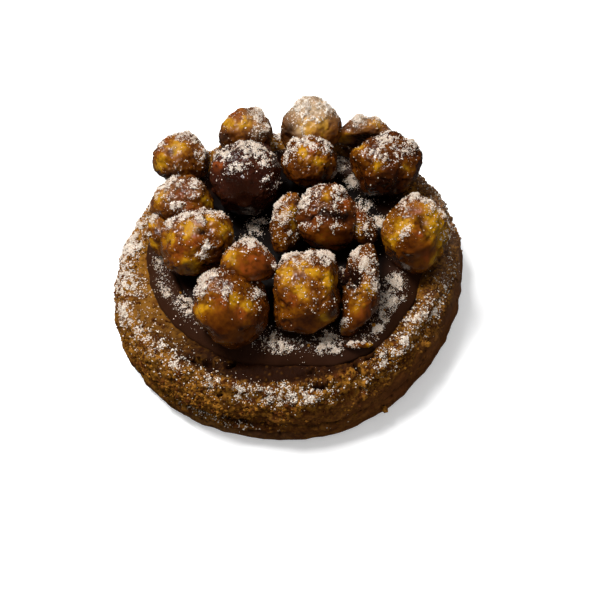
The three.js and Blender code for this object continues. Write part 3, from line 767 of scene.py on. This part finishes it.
    ),
    "caramel_shard": dict(
        at=[12, -28.2, 18.5], half=[3.1, 0.7, 1.2], turn=2, tone=0.6, flats=[[90, 20, 0.55], [-90, 0, 0.6]],
        gold=[[2.6, -0.4, 0.7]], sugar=[[-0.4, 0.4, 1.3]],
    ),
}
FACET_SHARPNESS = 14
NUT_LEAST = 0.5
NUT_LUMPS, NUT_KNOBS = 0.055, 0.035
WRINKLE_SIZE, BLOB_SIZE, FINE_BLOB_SIZE, GRIT_SIZE = 3.2, 2, 1, 0.55
WRINKLE_RISE, BLOB_RISE, FINE_BLOB_RISE, GRIT_RISE = 0.34, 0.45, 0.34, 0.2
NUT_AROUND, NUT_RINGS = 200, 100
FIRST_NUT_SEED = 10


def picture_way(clock, towards):
    """A direction from its clock angle in the picture and its lean towards the viewer, in degrees."""
    c, t = np.radians(clock), np.radians(towards)
    return np.array([np.cos(c) * np.cos(t), np.sin(c) * np.cos(t), np.sin(t)])


def nut_reach(nut, way, seed):
    """How far the nut's surface is from its middle: an ellipsoid and its facets under one smooth
    minimum, times a few percent of lumps."""
    turn = np.radians(-nut.get("turn", 0))
    right = way[..., 0] * np.cos(turn) - way[..., 1] * np.sin(turn)
    up = way[..., 0] * np.sin(turn) + way[..., 1] * np.cos(turn)
    upright = np.stack([right, up, way[..., 2]], -1) / nut["half"]
    total = np.linalg.norm(upright, axis=-1) ** FACET_SHARPNESS
    for clock, towards, distance in nut["flats"]:
        total += np.maximum(0, way @ picture_way(clock, towards) / distance) ** FACET_SHARPNESS
    swell = NUT_LUMPS * noise(way * 1.7, seed) + NUT_KNOBS * noise(way * 3.7, seed + 40)
    return np.maximum(total ** (-1 / FACET_SHARPNESS) * (1 + swell), NUT_LEAST)


def spots(offset, places):
    """The strongest of several round spots in the picture: a bell of the distance from each middle."""
    strongest = np.zeros(offset.shape[:-1])
    for right, up, half_size in places:
        away = np.hypot(offset[..., 0] - right, offset[..., 1] - up) / half_size
        strongest = np.maximum(strongest, bell(away) * smooth_step(offset[..., 2], -1.5, 1))
    return strongest


def groove_depth(offset, grooves):
    """Depth of straight grooves in the picture: a bell of the distance from each line's nearest point."""
    depth = np.zeros(offset.shape[:-1])
    for right, up, end_right, end_up, half_width, deepest in grooves:
        line = np.array([end_right - right, end_up - up])
        start = offset[..., :2] - [right, up]
        share = np.clip(start @ line / (line @ line), 0, 1)
        away = np.linalg.norm(start - share[..., None] * line, axis=-1) / half_width
        depth = np.maximum(depth, deepest * bell(away) * (offset[..., 2] > -1))
    return depth


def nut_shape(nut, seed):
    """A nut's rings and marks: its reach in every direction from an upright globe of directions, with
    wrinkles, blobs of caramel and grooves added along each direction."""
    turn = np.linspace(0, np.pi, NUT_RINGS)
    globe = turned(np.column_stack([np.sin(turn), -np.cos(turn)]), NUT_AROUND)
    way = globe @ VIEW
    reach = nut_reach(nut, way, seed)
    offset = way * reach[..., None]
    place = offset + 31 * seed
    wobble = np.stack([noise(place / 1.7, 71), noise(place / 1.7, 72), 0 * reach], -1)
    near = offset + 0.9 * wobble
    smooth = np.clip(1.3 * spots(near, nut.get("smooth", [])) + smooth_step(-globe[..., 2], 0.1, 0.6), 0, 1)
    rugged = (1 - smooth) * (1 - 0.7 * nut.get("veil", 0))
    wrinkles = 1 - 2 * np.abs(noise(place / WRINKLE_SIZE, 51))
    blobs, fine_blobs = domes(place / BLOB_SIZE, 52), domes(place / FINE_BLOB_SIZE, 56)
    grit = domes(place / GRIT_SIZE, 60)
    caramel = BLOB_RISE * (blobs - 0.3) + FINE_BLOB_RISE * (fine_blobs - 0.4) + GRIT_RISE * (grit - 0.4)
    relief = min(1, min(nut["half"]) / 4) * (WRINKLE_RISE * wrinkles + rugged * caramel - 0.3)
    grooves = groove_depth(near, nut.get("grooves", []))
    bulges = groove_depth(offset, nut.get("bulges", []))
    reach = reach + relief - grooves + bulges
    points = np.array(nut["at"]) + globe * reach[..., None]

    out_way = facing(points)
    patch = spots(near, nut.get("sugar", []))
    upward = smooth_step(out_way[..., 2], 0.1, 0.85)
    fall = upward * (0.36 * patch + 0.075 * rugged) + 0.13 * patch
    dust = gathered(place, fall, 85)
    points = points + out_way * (SUGAR_RISE * dust * (1 + 2 * patch))[..., None]

    gold = 0.95 * spots(near, nut.get("gold", [])) + 0.48 * nut["tone"] + 0.28 * noise(place / 2.3, 57)
    gold += rugged * (0.12 * noise(place / 0.9, 58) + 0.4 * (fine_blobs - 0.45) + 0.3 * (grit - 0.45))
    # Painted shade: the listed dark places, the grooves, the troughs of the wrinkles and the hollows
    # between the caramel blobs are darkened.
    between = 1.2 * np.maximum(0, 0.3 - fine_blobs) + 0.9 * np.maximum(0, 0.3 - grit)
    dark = 0.9 * spots(near, nut.get("dark", [])) + grooves / 0.9
    dark += rugged * (0.5 * np.maximum(0, -wrinkles) + between)
    marks = {
        "gold": np.clip(gold, 0, 1),
        "russet": spots(near, nut.get("russet", [])),
        "dark": np.clip(dark, 0, 1),
        "dust": dust,
        "veil": nut.get("veil", 0) * np.clip(1.2 * patch + 0.1 * upward, 0, 1),
        "rugged": rugged,
        "fall": fall,
    }
    return points, marks


# Rows of (place, colour) from the darkest to the yellowest.
AMBER = [
    (0, rgba(0.045, 0.0095, 0.001)), (0.3, rgba(0.105, 0.027, 0.0018)), (0.55, rgba(0.18, 0.055, 0.0018)),
    (0.8, rgba(0.265, 0.1, 0.0025)), (1, rgba(0.42, 0.196, 0.005)),
]
DARK_SKIN_BROWNS = [
    (0, rgba(0.022, 0.0055, 0.003)), (0.5, rgba(0.055, 0.013, 0.005)), (1, rgba(0.15, 0.04, 0.012)),
]
SKIN_RUSSET = rgba(0.22, 0.046, 0.006)
CREASE_SHADE = rgba(0.015, 0.004, 0.0015)
HAZE = rgba(0.58, 0.45, 0.28)


def graded(tree, value, stops):
    """A colour from a row of (place, colour) stops."""
    ramp = node(tree, "ValToRGB", {"Fac": value})
    row = ramp.color_ramp.elements
    while len(row) < len(stops):
        row.new(0.5)
    for stop, (place, colour) in zip(row, stops):
        stop.position, stop.color = place, colour
    return ramp.outputs["Color"]


def caramelised(name, browns):
    """Clear caramel over nut: dark brown where it is thick, yellow where the kernel shines through, red
    where skin is left, and painted shade near black in the creases and on the shaded undersides. Glossy,
    apart from the sugar."""
    material, tree = new_material(name)
    depth = sums(tree, "MULTIPLY_ADD", mottle(tree, 0.9, 3), 0.6, -0.3)
    colour = graded(tree, sums(tree, "ADD", mark(tree, "gold"), depth), browns)
    skin_left = sums(tree, "MULTIPLY", mark(tree, "russet"), rise(tree, mottle(tree, 1.1, 3), 0.3, 0.6))
    colour = colour_mix(tree, skin_left, colour, SKIN_RUSSET)
    # Painted shade: the dark mark turns creases, grooves and undersides near black.
    colour = colour_mix(tree, mark(tree, "dark"), colour, CREASE_SHADE)
    colour = colour_mix(tree, mark(tree, "veil"), colour, HAZE)
    colour, sugar = dusted(tree, colour)
    rough = sums(tree, "MULTIPLY_ADD", sugar, 0.5, 0.12)
    rugged = sums(tree, "MULTIPLY_ADD", mark(tree, "rugged"), 0.9, 0.1)
    height = sums(tree, "MULTIPLY_ADD", sugar, 0.4, sums(tree, "MULTIPLY", mottle(tree, 0.5, 3), rugged))
    inputs = {"Base Color": colour, "Roughness": rough, "Specular IOR Level": 0.32}
    return finished(material, tree, {**inputs, "Normal": uneven(tree, height, 0.5, 0.0003)})


CARAMEL = caramelised("amber caramel", AMBER)
DARK_SKIN = caramelised("dark nut skin", DARK_SKIN_BROWNS)

nut_skins = {}
for seed, (nut_name, nut) in enumerate(NUTS.items(), FIRST_NUT_SEED):
    nut_skins[nut_name] = nut_shape(nut, seed)
    is_dark = nut_name in ("nut_dark", "skin_fragment")
    piece = skin(nut_name + "_caramelised", *nut_skins[nut_name], DARK_SKIN if is_dark else CARAMEL)
    placed(piece, "dark_nut_skin" if is_dark else "caramel_nut", nut_name)

# ======== the crumbs
# Crumbs of the same dough: most are baked onto the crust, where they give it its broken grain, and a few
# fell loose on the cream. Each is a rough stone of twenty faces, sunk a little into what carries it.

CRUST_CRUMBS = 9500
CRUMB_SIZES = 0.18, 0.48  # half the width of a crumb
CRUMB_HEIGHTS = 5, 10  # crumbs are baked on above these heights
UNDER_THE_CREAM = 26
CRUMB_SEED = 3
# Single crumbs on the cream and on the side: x, y, z, half width.
LOOSE_CRUMBS = [
    [2.1, -26.8, 19.4, 0.5], [15.7, -24.6, 19.3, 0.4], [-22.5, -8, 19.2, 0.4], [18.5, -21.5, 19.3, 0.35],
    [15.3, -36, 4.9, 1.05], [26.2, -27.2, 12.8, 0.8], [11.4, -36.2, 12, 0.8],
]


def grain_places(points, weight, count, random):
    """Random places on a ringed surface, each cell chosen in proportion to its area times its weight:
    (places, outward directions, cells)."""
    a, b, d = points[:-1], np.roll(points, -1, axis=1)[:-1], points[1:]
    area = np.linalg.norm(np.cross(b - a, d - a), axis=-1)
    chance = (area * (weight[:-1] + weight[1:]) / 2).ravel()
    cell = random.choice(chance.size, count, p=chance / chance.sum())
    s, t = random.random((2, count, 1))
    a, b, d = (corner.reshape(-1, 3)[cell] for corner in (a, b, d))
    normal = np.cross(b - a, d - a)
    normal /= np.maximum(np.linalg.norm(normal, axis=-1, keepdims=True), 1e-12)
    return a + s * (b - a) + t * (d - a), normal, cell


def sizes_between(ends, lean, count, random):
    """Random sizes between two ends: an even random number to the power `lean`, so most are small."""
    return ends[0] + (ends[1] - ends[0]) * random.random(count) ** lean


def inside_a_nut(p, but):
    """Whether each point lies inside any of the nuts, other than the one named by `but`."""
    hidden = np.zeros(len(p), bool)
    for seed, (name, nut) in enumerate(NUTS.items(), FIRST_NUT_SEED):
        if name != but:
            way = (p - np.array(nut["at"])) @ VIEW
            distance = np.linalg.norm(way, axis=-1)
            way /= np.maximum(distance, 1e-9)[:, None]
            hidden |= distance < nut_reach(nut, way, seed)
    return hidden


def rough_stones(name, places, sizes, marks, material, random):
    """Every crumb is an icosahedron, its twelve corners moved in and out and the whole turned at random.
    Each mark holds one value for each crumb."""
    golden = (1 + 5**0.5) / 2
    ends = [[0, a, b * golden] for a in (-1, 1) for b in (-1, 1)]
    corners = np.array([np.roll(end, k) for k in range(3) for end in ends]) / (1 + golden**2) ** 0.5
    near = np.linalg.norm(corners[:, None] - corners, axis=-1) < 1.2
    trios = [list(t) for t in itertools.combinations(range(12), 3) if near[np.ix_(t, t)].all()]
    faces = np.array([t if np.linalg.det(corners[t]) > 0 else t[::-1] for t in trios])
    count = len(places)
    turn = np.linalg.qr(random.normal(size=(count, 3, 3)))[0]
    turn *= np.sign(np.linalg.det(turn))[:, None, None]
    stretch = random.uniform(0.7, 1.2, (count, 12, 1)) * random.uniform(0.7, 1.15, (count, 1, 3))
    points = (corners * stretch * sizes[:, None, None]) @ turn + places[:, None]
    faces = faces + 12 * np.arange(count)[:, None, None]
    marks = {label: np.repeat(values, 12) for label, values in marks.items()}
    return meshed(name, points.reshape(-1, 3), faces.reshape(-1, 3).tolist(), marks, material)


random = np.random.default_rng(CRUMB_SEED)
crowd = np.clip(0.5 + 1.4 * noise(biscuit_rings / 3, 91), 0.1, 1)
under_the_cream = np.linalg.norm(biscuit_rings[..., :2], axis=-1) < UNDER_THE_CREAM
weight = crowd * biscuit_marks["rough"] ** 2 * (1 - 0.95 * biscuit_marks["cavity_shade"]) * ~under_the_cream
weight *= smooth_step(biscuit_rings[..., 2], *CRUMB_HEIGHTS)
places, normals, cells = grain_places(biscuit_rings, weight, CRUST_CRUMBS, random)
sizes = sizes_between(CRUMB_SIZES, 2, len(places), random)
places = places + normals * (random.uniform(-0.5, 0.3, len(places)) * sizes)[:, None]
places = np.vstack([places, np.array(LOOSE_CRUMBS)[:, :3]])
sizes = np.append(sizes, np.array(LOOSE_CRUMBS)[:, 3])
unmarked = np.zeros(len(LOOSE_CRUMBS))
found = {name: np.append(values[:-1].ravel()[cells], unmarked) for name, values in biscuit_marks.items()}
crumb_marks = {
    # Crumbs that lie in the crust's painted shade are darkened with it: less golden, and near black in the
    # hollows.
    "golden": random.uniform(-0.4, 0.8, len(places)) - 0.5 * (found["cavity_shade"] > 0.6),
    "cavity_shade": 0.85 * found["cavity_shade"],
    "haze": 0.8 * found["haze"],
    "dust": np.clip(found["dust"] * random.uniform(0.3, 1.3, len(places)), 0, 1),
    "side": 0.4 * found["side"],
    "rough": np.ones(len(places)),
}
placed(rough_stones("crumbs", places, sizes, crumb_marks, DOUGH, random), "biscuit")

# ======== the powdered sugar
# Coarse icing sugar sifted over the finished cookie. It lies as clumps and single grains, which stick
# where the caramel and the crumbs face up.

GRAIN_SIZES = 0.05, 0.21  # half the length of a grain
SUGAR_SEED = 7
BISCUIT_GRAINS, CREAM_GRAINS = 17000, 12000
BISCUIT_GRAIN_SCALE, CREAM_GRAIN_SCALE = 1.25, 0.85  # against the sizes on the nuts
NUT_GRAINS = 1350  # on a nut of 8 mm half size
GRAIN_SHADOW, GRAIN_WHITE = rgba(0.72, 0.62, 0.52), rgba(0.92, 0.86, 0.78)
GRAIN_STAIN = rgba(0.42, 0.25, 0.11)


def grain_mesh(name, places, sizes, material, random):
    """Every grain is a small irregular eight-sided stone: six corners on three crossed axes of unequal
    length, turned at random. The small ones are the more deeply stained by what they stick to."""
    count = len(places)
    axes = np.linalg.qr(random.normal(size=(count, 3, 3)))[0]
    lengths = sizes[:, None] * random.uniform(0.4, 1.3, (count, 6))
    corners = np.concatenate([axes, -axes], axis=1) * lengths[..., None] + places[:, None]
    around = [0, 1, 3, 4]  # the ends of the first two axes in turn; 2 and 5 are those of the third
    upper = [[a, b, 2] for a, b in zip(around, around[1:] + around[:1])]
    lower = [[b, a, 5] for a, b, _ in upper]
    stone = np.array(upper + lower)
    flipped = np.linalg.det(axes) < 0
    faces = np.where(flipped[:, None, None], stone[:, ::-1], stone) + 6 * np.arange(count)[:, None, None]
    stain = np.clip(random.uniform(0, 1.3, count) - 2.5 * sizes, 0, 1)
    marks = {"stain": np.repeat(stain, 6)}
    return meshed(name, corners.reshape(-1, 3), faces.reshape(-1, 3).tolist(), marks, material)


def sugar_white():
    """Matt white, faintly warm, a little different from clump to clump."""
    material, tree = new_material("powdered sugar")
    colour = colour_mix(tree, mottle(tree, 1.0, 2), GRAIN_SHADOW, GRAIN_WHITE)
    colour = colour_mix(tree, mark(tree, "stain"), colour, GRAIN_STAIN)
    normal = uneven(tree, mottle(tree, 0.08, 1), 0.4, 0.00003)
    return finished(material, tree, {"Base Color": colour, "Roughness": 0.65, "Normal": normal})


def sifted(points, marks, count, random, but=None):
    """Grain middles on one surface: they pile up where the dust is thick, specks lie round each clump, a
    few stray grains lie between, and none is inside a nut."""
    upward = np.maximum(0, facing(points)[..., 2])
    stray = 0.008 * upward * np.maximum(0, noise(points / 2.5, 92))
    weight = marks["dust"] ** 2 + 0.12 * marks["fall"] + stray
    places, normals, _ = grain_places(points, weight, count, random)
    sizes = sizes_between(GRAIN_SIZES, 1.8, len(places), random)
    places = places + normals * (0.3 * sizes + random.uniform(0, 0.2, len(places)))[:, None]
    keep = ~inside_a_nut(places, but)
    return places[keep], sizes[keep]


random = np.random.default_rng(SUGAR_SEED)
SUGAR = sugar_white()
places, sizes = sifted(biscuit_rings, biscuit_marks, BISCUIT_GRAINS, random)
placed(grain_mesh("sugar_on_biscuit", places, BISCUIT_GRAIN_SCALE * sizes, SUGAR, random), "biscuit")
places, sizes = sifted(cream_rings, cream_marks, CREAM_GRAINS, random)
placed(grain_mesh("sugar_on_cream", places, CREAM_GRAIN_SCALE * sizes, SUGAR, random), "chocolate_cream")
on_nuts = []
for nut_name, (points, marks) in nut_skins.items():
    amount = int(NUT_GRAINS * (max(NUTS[nut_name]["half"]) / 8) ** 2)
    on_nuts.append(sifted(points, marks, amount, random, nut_name))
places, sizes = (np.concatenate(part) for part in zip(*on_nuts))
placed(grain_mesh("sugar_on_nuts", places, sizes, SUGAR, random), "caramel_nut")

# ======== camera, light and floor
# A pale table seen from the front and above, under one large soft light from the back left. A small lamp
# beside it gives the caramel its sharp highlights and lights nothing else.

CAMERA_AT = 2, -145.19, 198.07
LENS, SENSOR = 64.32, 36


def posed(thing, at, turn):
    """Puts a camera or a light at a place in millimetres, with its axes along the columns of a matrix."""
    pose = np.eye(4)
    pose[:3, :3], pose[:3, 3] = turn, np.array(at) / 1000
    thing.matrix_world = Matrix(pose.tolist())
    return thing


def soft_light(name, at, size, power):
    """A square soft light at a place in millimetres, facing the cookie."""
    data = bpy.data.lights.new(name, "AREA")
    data.shape, data.size, data.energy = "SQUARE", size / 1000, power
    back = np.array(at, float) - LIT_POINT
    back /= np.linalg.norm(back)
    side = np.cross([0, 1, 0.01], back)
    side /= np.linalg.norm(side)
    return posed(linked(name, data), at, np.column_stack([side, np.cross(back, side), back]))


camera = posed(linked("camera", bpy.data.cameras.new("camera")), CAMERA_AT, VIEW)
camera.data.lens, camera.data.sensor_width, camera.data.clip_start = LENS, SENSOR, 0.01
bpy.context.scene.camera = camera

LIT_POINT = [0, 0, 10]
# Name: place, size, watts. The sparkle alone makes highlights, and it alone lights nothing.
SOFT_LIGHTS = {
    "window": ([-150, 105, 530], 200, 4.5),
    "sparkle": ([-140, 90, 530], 70, 3.5),
    "ceiling": ([40, -40, 700], 700, 1.2),
    "fill": ([120, -420, 190], 300, 0.5),
    "back": ([160, 420, 190], 300, 0.4),
}
for name, values in SOFT_LIGHTS.items():
    light = soft_light(name, *values)
    light.visible_glossy = name == "sparkle"
    light.visible_diffuse = name != "sparkle"

# The camera sees a white world, and only a trace of it lights the cookie.
WORLD_SEEN, WORLD_LIGHT = 0.97, 0.03
world = bpy.data.worlds.new("studio")
bpy.context.scene.world = world
world.use_nodes = True
background = world.node_tree.nodes["Background"]
background.inputs["Color"].default_value = rgba(1, 1, 1)
open_view = node(world.node_tree, "LightPath").outputs["Is Camera Ray"]
strength = sums(world.node_tree, "MULTIPLY_ADD", open_view, WORLD_SEEN, WORLD_LIGHT)
world.node_tree.links.new(strength, background.inputs["Strength"])

# The floor glows for the camera alone, and more with the distance from its middle, up to pure white.
FLOOR_SIZE = 1.5  # metres from the middle to each edge
FLOOR_LIT, FLOOR_SEEN = rgba(0.04, 0.04, 0.04), rgba(0.85, 0.85, 0.85)
GLOW_NEAR, GLOW_RISE, GLOW_REACH = 0.34, 0.66, (0.15, 0.8)
floor_material, tree = new_material("pale floor")
seen_directly = node(tree, "LightPath").outputs["Is Camera Ray"]
floor_place = node(tree, "TexCoord").outputs["Object"]
far_off = node(tree, "VectorMath", {0: floor_place}, operation="LENGTH").outputs["Value"]
glow = sums(tree, "MULTIPLY_ADD", rise(tree, far_off, *GLOW_REACH), GLOW_RISE, GLOW_NEAR)
floor_inputs = {
    "Base Color": colour_mix(tree, seen_directly, FLOOR_LIT, FLOOR_SEEN),
    "Roughness": 0.9,
    "Specular IOR Level": 0,
    "Emission Color": rgba(1, 1, 1),
    "Emission Strength": sums(tree, "MULTIPLY", seen_directly, glow),
}
floor_mesh = bpy.data.meshes.new("floor")
floor_corners = [(x * FLOOR_SIZE, y * FLOOR_SIZE, 0) for x, y in [(-1, -1), (1, -1), (1, 1), (-1, 1)]]
floor_mesh.from_pydata(floor_corners, [], [(0, 1, 2, 3)])
floor_mesh.materials.append(finished(floor_material, tree, floor_inputs))
linked("floor", floor_mesh)

bpy.context.scene.view_settings.view_transform = "Standard"
